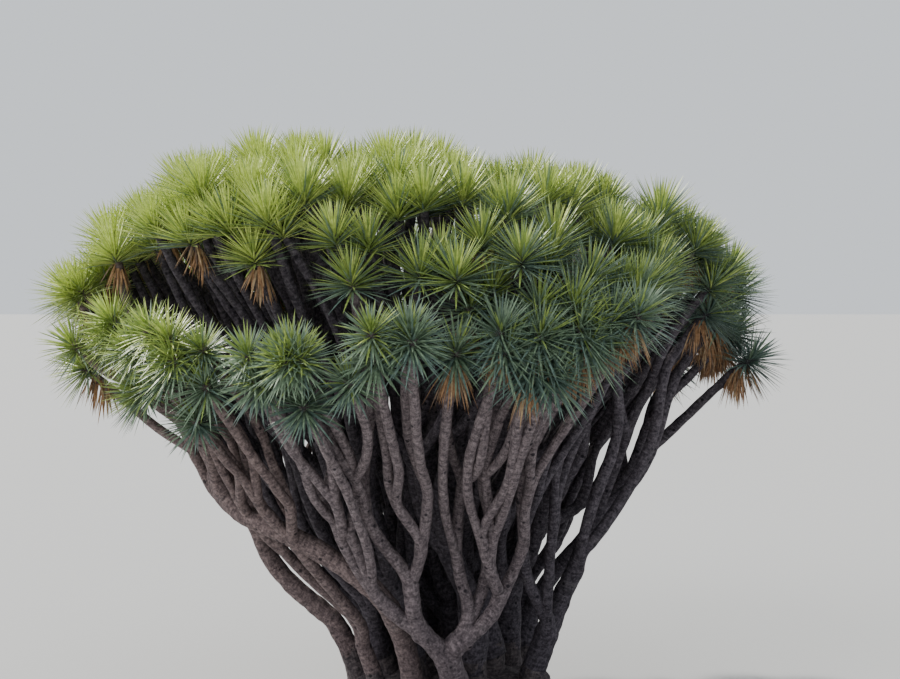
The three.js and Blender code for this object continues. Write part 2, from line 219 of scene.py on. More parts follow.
def uneven(spread):
    """A drawn number between minus and plus the spread."""
    return (next(draws) * 2 - 1) * spread


def ease_out(s):
    """Quick at first: 1 - (1 - s) squared, for s kept between 0 and 1."""
    return 1 - (1 - np.clip(s, 0, 1)) ** 2


def ease_in_out(s):
    """Slow at both ends: 3 s squared - 2 s cubed, for s kept between 0 and 1."""
    s = np.clip(s, 0, 1)
    return s * s * (3 - 2 * s)


def cubic(a, b, c, d, s):
    """The Bezier cubic with the four values a, b, c and d."""
    r = 1 - s
    return a * r**3 + 3 * b * r * r * s + 3 * c * r * s * s + d * s**3


def stem_point(spot, share):
    """Points of the funnel for spots of the unit disc and shares of the way from foot to crown: a
    cubic in the upright plane of the spot, moved, tilted and fuller at the left, plus a wave of
    the sine and cosine of the height and the place across it."""
    out = np.maximum(np.hypot(spot[:, 0], spot[:, 1]), 1e-6)
    polar = np.arccos(1 - out * out * (1 - math.cos(CROWN_RIM_ANGLE)))
    lean = ARRIVAL_LEAN * out
    foot = FOOT_RADIUS * out
    tips = CROWN_HALF[:, None] * np.sin(polar)
    before = tips - ARRIVAL_LENGTH * np.sin(lean)
    reach_x, reach_y = cubic(foot, foot + SPREAD_AT_FOOT * out, before, tips, share)
    rise = RISE_AT_FOOT + MORE_RISE_IN_MIDDLE * (1 - out * out)
    top = CROWN_WIDEST_HEIGHT + CROWN_RISE * np.cos(polar)
    moved = ease_out(share)
    x = reach_x * spot[:, 0] / out + CROWN_SHIFT_X * moved
    y = reach_y * spot[:, 1] / out
    height = cubic(FOOT_HEIGHT, FOOT_HEIGHT + rise, top - ARRIVAL_LENGTH * np.cos(lean), top, share)
    z = height + CROWN_TILT * x * moved
    begin, end = FULLNESS_SHARES
    along = np.clip((share - begin) / (end - begin), 0, 1)
    at_left = np.clip(-LEFT_GROWTH * spot[:, 0], 0, 1)
    x = x - LOWER_LEFT_FULLNESS * np.sin(math.pi * along) * at_left
    sway = SWAY * np.clip(share / FULL_SWAY_FROM, 0, 1)
    long_z, long_y, wide_z, wide_x = SWAY_LENGTHS
    swayed_x = x + sway * np.sin(z / long_z + y / long_y)
    swayed_y = y + sway * np.cos(z / wide_z + x / wide_x)
    return np.stack((swayed_x, swayed_y, z), axis=1)


def limb_point(limb, share):
    """Points of a limb: it starts over its foot's spot, and at each turn the spot is led on to
    another one by that turn's ease over its span."""
    share = np.asarray(share, float)
    spot = np.tile(limb["foot"], (len(share), 1))
    for turn in limb["turns"]:
        eased = turn.get("ease", ease_out)((share - turn["at"]) / turn.get("span", BEND_SPAN))
        spot = spot + (turn["to"] - spot) * eased[:, None]
    return stem_point(spot, share)


def limb_frame(limb, share):
    """The limb's way by central difference, the part of X across it, and their cross product."""
    ahead = limb_point(limb, share + 1e-3) - limb_point(limb, share - 1e-3)
    ahead /= np.linalg.norm(ahead, axis=1, keepdims=True)
    side = np.array([1.0, 0, 0]) - ahead * ahead[:, :1]
    side /= np.linalg.norm(side, axis=1, keepdims=True)
    return ahead, side, np.cross(ahead, side)


def stem_radius(count):
    """A stem that carries n sprays has STEM_RADIUS times n to the power STEM_THICKENING."""
    return STEM_RADIUS * count**STEM_THICKENING


def disc_spot(out, angle):
    """A spot of the unit disc; an angle of 0 is the side of the camera."""
    return np.array([out * math.sin(angle), -out * math.cos(angle)])


# A place in the crown is a spot of the unit disc, and a place on a limb is a share of its way.
# Sprays fill the disc in a golden spiral, with a gap at the left front between two tiers.
spray_spots = []
for k in range(SPRAY_COUNT):
    spot = disc_spot(math.sqrt((k + 0.5) / SPRAY_COUNT), k * GOLDEN_ANGLE)
    spot = spot + [uneven(SPOT_JITTER), uneven(SPOT_JITTER)]
    out = np.hypot(*spot)
    aside = abs(math.atan2(spot[0], -spot[1]) - TIER_GAP["angle"]) / TIER_GAP["width"]
    away = out - TIER_GAP["out"]
    push = TIER_GAP["open"] * np.clip(2 - 2 * aside, 0, 1)
    push = push * np.clip(1 - abs(away) / TIER_GAP["range"], 0, 1)
    spray_spots.append(spot * (out + np.sign(away) * push) / out)
spray_spots = np.array(spray_spots)

# Each mass of the crown has the sprays nearest to its middle, and one bough that carries them. A
# second bough grows out of the one before it, and one limb crosses the others at the left.
masses = []
mass_count = sum(ring[1] for ring in RINGS)
for ring_name, count, pairs, turn in RINGS:
    out = math.sqrt((len(masses) + count / 2) / mass_count) if count > 1 else 0.0
    for k in range(count):
        number = f"_{k + 1:02d}" if count > 1 else ""
        mass = {"name": ring_name + number, "ring": ring_name}
        mass["middle"] = disc_spot(out, (k + turn) * 2 * math.pi / count)
        mass["second"] = k < 2 * pairs and k % 2 == 1
        masses.append(mass)
nearest = np.argmin([np.hypot(*(spray_spots - mass["middle"]).T) for mass in masses], axis=0)
for k, mass in enumerate(masses):
    mass["sprays"] = [int(i) for i in np.flatnonzero(nearest == k)]

boughs = []
for mass in masses:
    outwards = RIM_LEAN if mass["ring"] == "rim" else 1.0
    own = spray_spots[mass["sprays"]].mean(axis=0) * outwards
    count = len(mass["sprays"])
    bough = {"name": "bough_" + mass["name"], "mass": mass, "end": BOUGH_END + uneven(UNEVEN_BOUGHS)}
    bough["stout"] = INNER_STOUTNESS if mass["ring"] != "rim" else 1.0
    bough["end_radius"] = stem_radius(count) * bough["stout"]
    bough["start_radius"] = bough["end_radius"] * COLLAR_SWELL
    if mass["second"]:
        parent = boughs[-1]
        fork = BOUGH_FORK + uneven(UNEVEN_BOUGHS)
        both = spray_spots[parent["mass"]["sprays"] + mass["sprays"]].mean(axis=0) * outwards
        early = {"at": LEAN_OUT - BEND_SPAN / 2, "to": both}
        parted = {"at": fork, "span": BOUGH_BEND_SPAN}
        parent["turns"] = [early, {**parted, "to": parent["turns"][0]["to"]}]
        parent["foot"][:] = both
        both_count = len(parent["mass"]["sprays"]) + count
        parent["start_radius"] = stem_radius(both_count) * COLLAR_SWELL * bough["stout"]
        bough.update(parent=parent, foot=parent["foot"], turns=[early, {**parted, "to": own}], start=fork)
    elif mass["name"] == CROSSING_MASS:
        swing = {"at": CROSSING_SWING["at"], "span": CROSSING_SWING["span"], "ease": ease_in_out}
        swing["to"] = disc_spot(CROSSING_SWING["out"], CROSSING_SWING["angle"])
        foot = disc_spot(FOOT_LIMIT, CROSSING_FOOT_ANGLE)
        bough.update(foot=foot, turns=[swing], start=COLLAR_END, end=CROSSING_END)
    else:
        to = own * CROSSED_OUT / np.hypot(*own) if mass["name"] == CROSSED_MASS else own
        bough.update(foot=own.copy(), turns=[{"at": LEAN_OUT, "to": to}], start=COLLAR_END)
    boughs.append(bough)

# The feet push each other apart in small steps, and stay on the trunk.
feet = [bough["foot"] for bough in boughs if "parent" not in bough]
for _ in range(FOOT_PASSES):
    for a in feet:
        for b in feet:
            apart = np.hypot(*(b - a))
            if a is b or apart > FOOT_SPACING:
                continue
            push = (b - a) / apart * (FOOT_SPACING - apart) / 4
            a -= push
            b += push
        if np.hypot(*a) > FOOT_LIMIT:
            a *= FOOT_LIMIT / np.hypot(*a)

lump_draws = np.random.default_rng(5)
lump_waves = []
for wavelength, height in BARK_LUMPS:
    ways = lump_draws.normal(size=(LUMP_WAVES, 3))
    ways *= 2 * math.pi / wavelength / np.linalg.norm(ways, axis=1, keepdims=True)
    ways *= lump_draws.uniform(*LUMP_STRETCH, (LUMP_WAVES, 1))
    lump_waves.append((ways, lump_draws.uniform(0, 7, LUMP_WAVES), height))


def bark_lumps(points):
    """Lumps of the bark in metres: for each wavelength, half the sum of plane waves of sines."""
    flat = points.reshape(-1, 3)
    total = 0
    for ways, phases, height in lump_waves:
        total = total + height * np.sin(flat @ ways.T + phases).sum(axis=1) / 2
    return total.reshape(points.shape[:-1])


def tube_faces(rings, sides):
    """Quads between neighbouring rings of a grid, and a triangle fan to the point at each end."""
    ring = np.arange(rings - 1)[:, None] * sides
    k = np.arange(sides)
    near, next_near = ring + k, ring + (k + 1) % sides
    quads = np.stack((near, next_near, next_near + sides, near + sides), axis=-1).reshape(-1, 4)
    first, last = rings * sides, rings * sides + 1
    base = (rings - 1) * sides
    first_fan = np.stack((np.full(sides, first), (k + 1) % sides, k), axis=1)
    last_fan = np.stack((np.full(sides, last), base + k, base + (k + 1) % sides), axis=1)
    return quads, np.concatenate((first_fan, last_fan))


def grid_uv(along, around, rings, sides):
    """Bark places in metres for each corner of the tube's faces: the way round and the way along."""
    u = np.broadcast_to(around[:, None] * (np.arange(sides + 1) / sides), (rings, sides + 1))
    v = np.broadcast_to(along[:, None], (rings, sides + 1))
    uv = np.stack((u, v), axis=-1)
    quads = np.stack((uv[:-1, :-1], uv[:-1, 1:], uv[1:, 1:], uv[1:, :-1]), axis=2).reshape(-1, 2)
    start = np.stack((uv[0, :-1], uv[0, 1:], uv[0, :-1]), axis=1).reshape(-1, 2)
    end = np.stack((uv[-1, :-1], uv[-1, :-1], uv[-1, 1:]), axis=1).reshape(-1, 2)
    return np.concatenate((quads, start, end))


def tube_bark(middle, side, across, radius, sides):
    """Bark on rings round a line of middles: each ring's points lie a radius away along side times
    the cosine plus across times the sine, and are lifted further by the bark's lumps."""
    along = np.concatenate(([0.0], np.cumsum(np.linalg.norm(np.diff(middle, axis=0), axis=1))))
    angle = np.arange(sides) * 2 * math.pi / sides
    cosine, sine = np.cos(angle)[None, :, None], np.sin(angle)[None, :, None]
    spoke = side[:, None] * cosine + across[:, None] * sine
    bare = middle[:, None] + spoke * radius[:, None, None]
    lumps = bark_lumps(bare) * np.clip(radius / FULL_LUMPS_FROM, FEWEST_LUMPS, 1)[:, None]
    points = np.concatenate(((bare + spoke * lumps[:, :, None]).reshape(-1, 3), middle[[0, -1]]))
    points[:, 2] = np.maximum(points[:, 2], 0)
    quads, fans = tube_faces(len(middle), sides)
    return {
        "points": points,
        "quads": quads,
        "triangles": fans,
        "uv": grid_uv(along, 2 * math.pi * np.full(len(middle), radius.mean()), len(middle), sides),
    }


def limb_bark(limb, start, end, radius_at, step, sunk=0.0, swellings=()):
    """A limb's bark: rings round limb_point across its way, as wide as radius_at gives for the
    share, and swollen by a bell curve at each fork. The first ring is sunk back along its way."""
    sample = np.linspace(start, end, LENGTH_SAMPLES)
    length = np.linalg.norm(np.diff(limb_point(limb, sample), axis=0), axis=1).sum()
    share = np.linspace(start, end, max(int(length / step), 1) + 2)
    radius = radius_at(share)
    sides = next(count for least, count in LIMB_SIDES.items() if radius.max() >= least)
    middle = limb_point(limb, share)
    ahead, side, across = limb_frame(limb, share)
    middle[0] -= ahead[0] * sunk
    for at, gain, reach in swellings:
        away = (share - at) * LIMB_LENGTH / reach
        radius = radius * (1 + gain * np.exp(-(away**2)))
    return tube_bark(middle, side, across, radius, sides)


def put_piece(name, shapes, material, smooth=True):
    """Joins shapes, each of points, quads, triangles and corner places, into one mesh object."""
    points = np.concatenate([shape["points"] for shape in shapes])
    offsets = np.cumsum([0] + [len(shape["points"]) for shape in shapes[:-1]])
    corners, sizes, places = [], [], []
    for shape, offset in zip(shapes, offsets):
        corners += [(shape["quads"] + offset).ravel(), (shape["triangles"] + offset).ravel()]
        sizes += [np.full(len(shape["quads"]), 4), np.full(len(shape["triangles"]), 3)]
        places.append(shape["uv"])
    corners, sizes, places = np.concatenate(corners), np.concatenate(sizes), np.concatenate(places)
    mesh = bpy.data.meshes.new(name)
    mesh.vertices.add(len(points))
    mesh.vertices.foreach_set("co", points.astype(np.float32).ravel())
    mesh.loops.add(len(corners))
    mesh.loops.foreach_set("vertex_index", corners.astype(np.int32))
    mesh.polygons.add(len(sizes))
    mesh.polygons.foreach_set("loop_start", (np.cumsum(sizes) - sizes).astype(np.int32))
    mesh.polygons.foreach_set("use_smooth", np.full(len(sizes), smooth))
    mesh.uv_layers.new(name="UVMap").data.foreach_set("uv", places.astype(np.float32).ravel())
    mesh.update(calc_edges=True)
    mesh.validate()
    mesh.materials.append(material)
    piece = bpy.data.objects.new(name, mesh)
    bpy.context.scene.collection.objects.link(piece)
    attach(piece, "root")
    return piece


def wire(tree, kind, inputs=None, **settings):
    """Adds a node with its settings, and links or sets its inputs by name or number."""
    node = tree.nodes.new(kind)
    for name, value in settings.items():
        setattr(node, name, value)
    for socket, value in (inputs or {}).items():
        if isinstance(value, bpy.types.NodeSocket):
            tree.links.new(value, node.inputs[socket])
        else:
            node.inputs[socket].default_value = value
    return node


def ramp(tree, factor, stops):
    """A colour ramp with the given places and colours."""
    node = wire(tree, "ShaderNodeValToRGB", {"Fac": factor})
    elements = node.color_ramp.elements
    while len(elements) < len(stops):
        elements.new(0.5)
    for element, (place, color) in zip(elements, stops):
        element.position = place
        element.color = color
    return node.outputs["Color"]


def make_bark(name):
    """Bark: a ramp over the sum of lumpy patches, rings of scars across the limb and fine cracks
    along it, under patches of lichen and small dark knots, and darker and bluer low down as painted
    shade; the same sum lifts the surface."""
    dark, middle, pale = BARK_TONES_WITH_PAINTED_LIGHT[name]
    bark = bpy.data.materials.new(name + "_bark")
    bark.use_nodes = True
    tree = bark.node_tree
    shader = tree.nodes["Principled BSDF"]
    shader.inputs["Roughness"].default_value = 0.88
    shader.inputs["Specular IOR Level"].default_value = 0.25
    place = tree.nodes.new("ShaderNodeTexCoord")
    whole = {"Vector": place.outputs["Object"]}
    rough = {"Detail": 9.0, "Roughness": 0.8}
    patches = wire(tree, "ShaderNodeTexNoise", {**whole, **rough, "Scale": 24.0})
    around = wire(tree, "ShaderNodeMapping", {"Vector": place.outputs["UV"], "Scale": BARK_SCARS})
    around = {"Vector": around.outputs["Vector"], "Scale": 1.0}
    scars = wire(tree, "ShaderNodeTexNoise", {**around, "Detail": 3.0}).outputs["Fac"]
    along = wire(tree, "ShaderNodeMapping", {"Vector": place.outputs["UV"], "Scale": BARK_CRACKS[name]})
    along = {"Vector": along.outputs["Vector"], "Scale": 1.0}
    cracks = wire(tree, "ShaderNodeTexNoise", {**along, "Detail": 5.0}).outputs["Fac"]
    grain = wire(tree, "ShaderNodeMath", {0: scars, 1: cracks}, operation="ADD")
    mixed = wire(tree, "ShaderNodeMath", {0: grain.outputs[0], 1: 0.3, 2: patches.outputs["Fac"]})
    mixed.operation = "MULTIPLY_ADD"
    tones = ramp(tree, mixed.outputs[0], list(zip(BARK_STOPS, (dark, middle, pale))))
    crust = wire(tree, "ShaderNodeTexNoise", {**whole, **rough, "Scale": 2.6})
    crust_amount = ramp(tree, crust.outputs["Fac"], [(0.58, (0, 0, 0, 1)), (0.74, (0.4, 0.4, 0.4, 1))])
    crusted = wire(tree, "ShaderNodeMix", {0: crust_amount, 6: tones, 7: LICHEN}, data_type="RGBA")
    knots = wire(tree, "ShaderNodeTexVoronoi", {**whole, "Scale": 7.0})
    knot_amount = ramp(tree, knots.outputs["Distance"], [(0.1, (1, 1, 1, 1)), (0.16, (0, 0, 0, 1))])
    knotted = wire(tree, "ShaderNodeMix", {0: knot_amount, 6: crusted.outputs[2], 7: dark}, data_type="RGBA")
    # Painted shade: the colour is multiplied darker and bluer towards the ground.
    split = wire(tree, "ShaderNodeSeparateXYZ", {0: place.outputs["Object"]})
    height = wire(tree, "ShaderNodeMath", {0: split.outputs["Z"], 1: LOW_PAINTED_SHADE_HEIGHT}, operation="DIVIDE")
    low_shade = ramp(tree, height.outputs[0], LOW_PAINTED_SHADE)
    low_shaded = wire(tree, "ShaderNodeMix", {0: 1.0, 6: knotted.outputs[2], 7: low_shade}, data_type="RGBA")
    low_shaded.blend_type = "MULTIPLY"
    tree.links.new(low_shaded.outputs[2], shader.inputs["Base Color"])
    bump = wire(tree, "ShaderNodeBump", {"Height": mixed.outputs[0], "Strength": 0.6, "Distance": 0.007})
    tree.links.new(bump.outputs["Normal"], shader.inputs["Normal"])
    return bark


# The stems' barks are copies of one bark with painted sunlight, painted half shade and painted shade.
foot_bark = make_bark("foot")
sunlit_painted_bark = make_bark("sunned")
half_shade_painted_bark = make_bark("cool")
shade_painted_bark = make_bark("shaded")


def trunk_body():
    """The bole: round an upright axis, a low dome whose radius follows a profile over its height,
    with a flute that swells out by a bell curve round the tree under each outer stem. The flutes
    fade out towards the middle of its top, and the lumps of its bark towards the ground."""
    heights, radii = TRUNK_PROFILE
    height = np.interp(np.linspace(0, 1, TRUNK_RINGS), np.linspace(0, 1, len(heights)), heights)
    bare = np.interp(height, heights, radii)[:, None]
    angle = np.arange(TRUNK_SIDES) * 2 * math.pi / TRUNK_SIDES
    flutes = np.zeros(TRUNK_SIDES)
    for foot in feet:
        if np.hypot(*foot) > FLUTES_BEYOND:
            aside = np.angle(np.exp(1j * (angle - math.atan2(foot[1], foot[0]))))
            flutes = np.maximum(flutes, np.exp(-((aside / FLUTE_WIDTH) ** 2)))
    fade = np.clip((bare - FLUTES_FADE_AT) / FLUTES_FADE_SPAN, 0, 1)
    radius = bare + FLUTE_HEIGHT * (flutes - FLUTE_FLOOR) * fade
    upright = np.repeat(height[:, None], TRUNK_SIDES, axis=1)
    points = np.stack((radius * np.cos(angle), radius * np.sin(angle), upright), axis=-1)
    away = points / np.maximum(np.linalg.norm(points, axis=-1, keepdims=True), 1e-6)
    lift = TRUNK_LUMPS * np.clip(height / LUMPS_FROM_HEIGHT, 0, 1)[:, None, None]
    points = points + away * bark_lumps(points)[:, :, None] * lift
    along = np.concatenate(([0.0], np.cumsum(np.hypot(np.diff(radius[:, 0]), np.diff(height)))))
    girth = np.full(len(height), 2 * math.pi * TRUNK_BARK_RADIUS)
    quads, fans = tube_faces(len(height), TRUNK_SIDES)
    return {
        "points": np.concatenate((points.reshape(-1, 3), [[0, 0, 0], [0, 0, height[-1]]])),
        "quads": quads,
        "triangles": fans,
        "uv": grid_uv(along, girth, len(height), TRUNK_SIDES),
    }


def collar(bough):
    """The foot of a stem: its radius grows with the square of the share left to the collar's end."""
    thick = bough["start_radius"]
    return limb_bark(
        bough,
        0.0,
        COLLAR_END + COLLAR_LAP,
        lambda share: thick * (1 + COLLAR_FLARE * np.clip(1 - share / COLLAR_END, 0, 1) ** 2),
        COLLAR_STEP,
        sunk=COLLAR_SUNK,
    )


collars = [collar(bough) for bough in boughs if "parent" not in bough]
trunk = put_piece("trunk_bark", [trunk_body(), *collars], foot_bark)
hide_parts("trunk")

# Boughs
# Each is one tapering limb of soft wood under smooth grey bark with rings of leaf scars. It grows
# out of the trunk, or out of an older bough's side, and soon forks into slimmer upright stems.
# Turns round the tree are bell curves, each with its angle and width in degrees and its height.
FIRST_FORK_GAPS = {"rim": (0.025, 0.1), "middle": (0.01, 0.06), "inner": (0.01, 0.05), "top": (0.01, 0.05)}
FORK_GAPS = (0.05, 0.15)
HALVING_WAYS = 6
LATE_FORKS = {"rim_12": 0.49, "rim_11": 0.34, "rim_05": 0.5, "rim_04": 0.3}
FORK_SWELLING = (0.07, 0.13)
UNEVEN_FORKS = 0.02
UNEVEN_REACH = 0.025
ROSETTE_RADIUS = 0.045
FINE_THICKENING = 0.22
FINE_FORKS_FROM = 0.36
FINE_FORK_GAPS = (0.04, 0.17)
FINE_SPREAD = 0.062
UNEVEN_SPREAD = (0.75, 1.2)
ROSETTE_COUNTS = ((3, 4), (0.55, 0.45))
EVEN_ENDS = (-0.03, 0.035)
LOWER_EDGE = 0.97
LOWER_EDGE_TURNS = ((-48, 22, 0.07), (-2, 34, -0.04), (20, 9, 0.03), (60, 27, -0.3))
UNEVEN_EDGE = (-0.07, 0.03)
EDGE_MOVES_FROM = 0.75
EDGE_MOVES_LEAST = 0.12
OUTERMOST_SPOT = 1.03
FEWER_BEYOND = 0.07
TIERS_APART = {"angle": math.radians(-28), "width": math.radians(50), "out": 0.8, "half": 0.125}
TIERS_REACH = 1.5
LONE_SPRAY = int(np.argmax(spray_spots[:, 0]))
LONE_SPOT = [*disc_spot(0.92, math.radians(85)), 1.06]
LOW_SPOTS = [[*disc_spot(1.0, math.radians(-37)), 0.92], [*disc_spot(0.97, math.radians(-53)), 0.95]]
LEFT_BULGE = (-86, 26, 0.055)
WIDER_FORKS = 0.034
UNEVEN_WIDER = (0.3, 1.5)
WIDER_FROM = (0.15, 0.25)
FORK_RETURN = (0.12, 0.34)
FORK_TAPER = (0.015, 0.03)
SPRAY_BEND = (0.04, 0.36)
FORK_SUNK = 0.7
BOUGH_LAP = 0.002
BOUGH_TAPER = (0.06, 0.95)
CHILD_TAPER = 0.04
SHOULDER = 0.045
SHOULDER_MIDDLE = 0.15
SHOULDER_BEND = 1.6
LOWEST_WAVE = -0.1
BULGE_BEYOND = 0.85
SHOULDER_TURNS = ((-80, 48, 1.1), (72, 40, 0.9))
BOUGH_STEP = 0.024
# Where across the tree the stems' bark turns from painted sunlight to painted half shade, and from that to
# painted shade.
HALF_SHADE_PAINTED_FROM = -0.25
SHADE_PAINTED_FROM = 0.35
limbs = []
rosettes = []
fine_draws = np.random.default_rng(11)


def halves(members):
    """Splits a set of sprays across the longest spread of its spots, of a few directions tried."""
    spots = spray_spots[members]
    middle = spots.mean(axis=0)
    ways = [disc_spot(1, k * math.pi / HALVING_WAYS) for k in range(HALVING_WAYS)]
    spreads = [(((spots - middle) @ way) ** 2).sum() for way in ways]
    widest = ways[int(np.argmax(spreads))]
    ordered = sorted(members, key=lambda i: spray_spots[i] @ widest)
    cut = len(ordered) // 2
    if next(draws) < 0.5:
        return ordered[:cut], ordered[cut:]
    return ordered[cut:], ordered[:cut]


def fork_limb(limb, fork, spots, radii):
    """Two limbs from one: the first goes on along it and the second starts at the fork. Each bends
    past its own spot there, away from the other, and comes back to it further on."""
    swelling = (fork, *FORK_SWELLING)
    onward = limb["radii"] + [(fork - FORK_TAPER[0], radii[0]), (fork + FORK_TAPER[1], radii[1])]
    apart = (spots[1] - spots[0]) / max(float(np.hypot(*(spots[1] - spots[0]))), 1e-6)
    wider = WIDER_FORKS * fine_draws.uniform(*UNEVEN_WIDER, 2)
    wider = wider * np.clip((fork - WIDER_FROM[0]) / WIDER_FROM[1], 0, 1)
    back = {"at": fork + FORK_RETURN[0], "span": FORK_RETURN[1], "ease": ease_in_out}
    ways = [
        [{"at": fork, "to": spots[0] - apart * wider[0]}, {**back, "to": spots[0]}],
        [{"at": fork, "to": spots[1] + apart * wider[1]}, {**back, "to": spots[1]}],
    ]
    first = {"turns": limb["turns"] + ways[0], "radii": onward}
    second = {"turns": limb["turns"] + ways[1], "radii": [(fork, radii[2])]}
    first["forks"] = limb["forks"] + [swelling]
    second.update(forks=[swelling], start=fork)
    return {**limb, **first}, {**limb, **second}


def turned(angle, turns):
    """The sum of bell curves round the tree at this angle."""
    angle = math.degrees(angle)
    return sum(height * math.exp(-(((angle - at) / width) ** 2)) for at, width, height in turns)


def lower_edge(angle):
    """How far out the crown's lower edge lies on this side of the tree: an even edge plus turns."""
    return LOWER_EDGE + turned(angle, LOWER_EDGE_TURNS)


def settled(spot):
    """A spot moved in or out in proportion, so that the outermost come to the crown's lower edge,
    which hangs lowest at the left front and is high at the right. Round the gap between the two
    tiers, which is widest at its own angle, it is then moved out of the gap."""
    out = np.hypot(*spot)
    angle = math.atan2(spot[0], -spot[1])
    edge = lower_edge(angle) + fine_draws.uniform(*UNEVEN_EDGE)
    moved_from = min(EDGE_MOVES_FROM, edge - EDGE_MOVES_LEAST)
    new_out = out
    if out > moved_from:
        new_out = moved_from + (out - moved_from) * (edge - moved_from) / (OUTERMOST_SPOT - moved_from)
    aside = (angle - TIERS_APART["angle"]) / TIERS_APART["width"]
    half = TIERS_APART["half"] * max(0, 1 - aside * aside)
    away = new_out - TIERS_APART["out"]
    if abs(away) < half * TIERS_REACH:
        new_out = TIERS_APART["out"] + math.copysign((half * TIERS_REACH + abs(away)) / 2, away)
    return spot * new_out / out


def shoulder(spot):
    """How much further a twig goes than its rule says: a sine over a power of the spot's distance
    from the middle makes the dome flatter on top and fuller at its shoulders, most of all at the
    left, where the outermost twigs bulge."""
    out = min(1, float(np.hypot(*spot)))
    angle = math.atan2(spot[0], -spot[1])
    place = (SHOULDER_MIDDLE + (1 - SHOULDER_MIDDLE) * out) ** SHOULDER_BEND
    wave = max(math.sin(math.pi * place) - 0.5, LOWEST_WAVE)
    bulge = turned(angle, [LEFT_BULGE]) if out > BULGE_BEYOND else 0.0
    return SHOULDER * wave * (1 + turned(angle, SHOULDER_TURNS) * (wave > 0)) + bulge


def grow_rosettes(spots, limb, last):
    """Forks a spray's limb further between the halves of its rosettes' spots, until each twig
    carries one rosette. A twig with n of them has the radius of one times n to FINE_THICKENING."""
    if len(spots) == 1:
        end = spots[0][2]
        twig = {**limb, "end": end, "radii": limb["radii"] + [(end, ROSETTE_RADIUS)]}
        limbs.append(twig)
        rosettes.append(twig)
        return
    fork = max(FINE_FORKS_FROM, last) + fine_draws.uniform(*FINE_FORK_GAPS)
    parts = spots[: len(spots) // 2], spots[len(spots) // 2 :]
    counts = len(spots), len(parts[0]), len(parts[1])
    radii = [ROSETTE_RADIUS * count**FINE_THICKENING for count in counts]
    ways = [np.mean(part, axis=0)[:2] for part in parts]
    for part, twig in zip(parts, fork_limb(limb, fork, ways, radii)):
        grow_rosettes(part, twig, fork)


# Two rosettes hang low at the left front, each on the spray nearest to it.
low_rosettes = {}
for low_spot in LOW_SPOTS:
    closest = int(np.argmin(np.hypot(*(spray_spots - low_spot[:2]).T)))
    low_rosettes.setdefault(closest, []).append(low_spot)


def grow(members, limb, last):
    """Forks a limb between the halves of its set until each limb carries one spray. The limb of
    the spray furthest to the right carries a single rosette, lower and further out."""
    if len(members) == 1:
        spray = spray_spots[members[0]]
        count = int(fine_draws.choice(ROSETTE_COUNTS[0], p=ROSETTE_COUNTS[1]))
        if np.hypot(*spray) > lower_edge(math.atan2(spray[0], -spray[1])) + FEWER_BEYOND:
            count -= 2
        turn = fine_draws.uniform(0, 2 * math.pi)
        reach = 1 + uneven(UNEVEN_REACH)
        spots = []
        for k in range(count):
            out = FINE_SPREAD * fine_draws.uniform(*UNEVEN_SPREAD)
            spot = settled(spray + disc_spot(out, turn + k * 2 * math.pi / count))
            spots.append([*spot, reach + fine_draws.uniform(*EVEN_ENDS) + shoulder(spot)])
        spots += low_rosettes.get(members[0], [])
        if members[0] == LONE_SPRAY:
            spots = [LONE_SPOT]
        there = {"at": last + SPRAY_BEND[0], "span": SPRAY_BEND[1], "ease": ease_in_out}
        there["to"] = np.mean(spots, axis=0)[:2]
        grow_rosettes(spots, {**limb, "turns": limb["turns"] + [there]}, last)
        return
    gaps = FIRST_FORK_GAPS[limb["bough"]["mass"]["ring"]] if last == limb["start"] else FORK_GAPS
    fork = last + fine_draws.uniform(*gaps) + uneven(UNEVEN_FORKS)
    parts = halves(members)
    counts = len(members), len(parts[0]), len(parts[1])
    radii = [stem_radius(count) * limb["bough"]["stout"] for count in counts]
    ways = [spray_spots[part].mean(axis=0) for part in parts]
    for part, stem in zip(parts, fork_limb(limb, fork, ways, radii)):
        grow(part, stem, fork)


def limb_part(limb, start, end, step):
    """The bark of a limb between two shares of its way."""
    places, radii = zip(*limb["radii"])
    return limb_bark(
        limb,
        max(start, limb["start"]),
        min(end, limb["end"]),
        lambda share: np.interp(share, places, radii),
        step,
        sunk=radii[0] * FORK_SUNK if limb["start"] > start else 0.0,
        swellings=limb["forks"],
    )


for bough in boughs:
    children = [other["start"] for other in boughs if other.get("parent") is bough]
    limb = {"foot": bough["foot"], "turns": bough["turns"], "start": bough["start"], "bough": bough}
    limb["forks"] = [(share, *FORK_SWELLING) for share in children]
    limb["radii"] = [(bough["start"], bough["start_radius"])]
    tapered = bough["start_radius"] * BOUGH_TAPER[1]
    if children:
        limb["radii"] += [(children[0], tapered), (children[0] + CHILD_TAPER, bough["end_radius"])]
    else:
        limb["radii"] += [(bough["start"] + BOUGH_TAPER[0], tapered)]
    unforked = LATE_FORKS.get(bough["mass"]["name"], bough["start"])
    grow(bough["mass"]["sprays"], limb, max([unforked] + children))

for bough in boughs:
    shapes = []
    for limb in limbs:
        if limb["bough"] is bough and limb["start"] < bough["end"]:
            shapes.append(limb_part(limb, 0.0, bough["end"] + BOUGH_LAP, BOUGH_STEP))
    # Painted light by place across the tree: the left rim's boughs get the bark with painted sunlight, the
    # middle's the one with painted half shade, and those at the right or inside the rim the one with painted
    # shade.
    across = bough["turns"][-1]["to"][0]
    own_bark = sunlit_painted_bark if across < HALF_SHADE_PAINTED_FROM else half_shade_painted_bark
    if across > SHADE_PAINTED_FROM or bough["mass"]["ring"] != "rim":
        own_bark = shade_painted_bark
    piece = put_piece(bough["name"] + "_bark", shapes, own_bark)
    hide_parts(bough["name"])

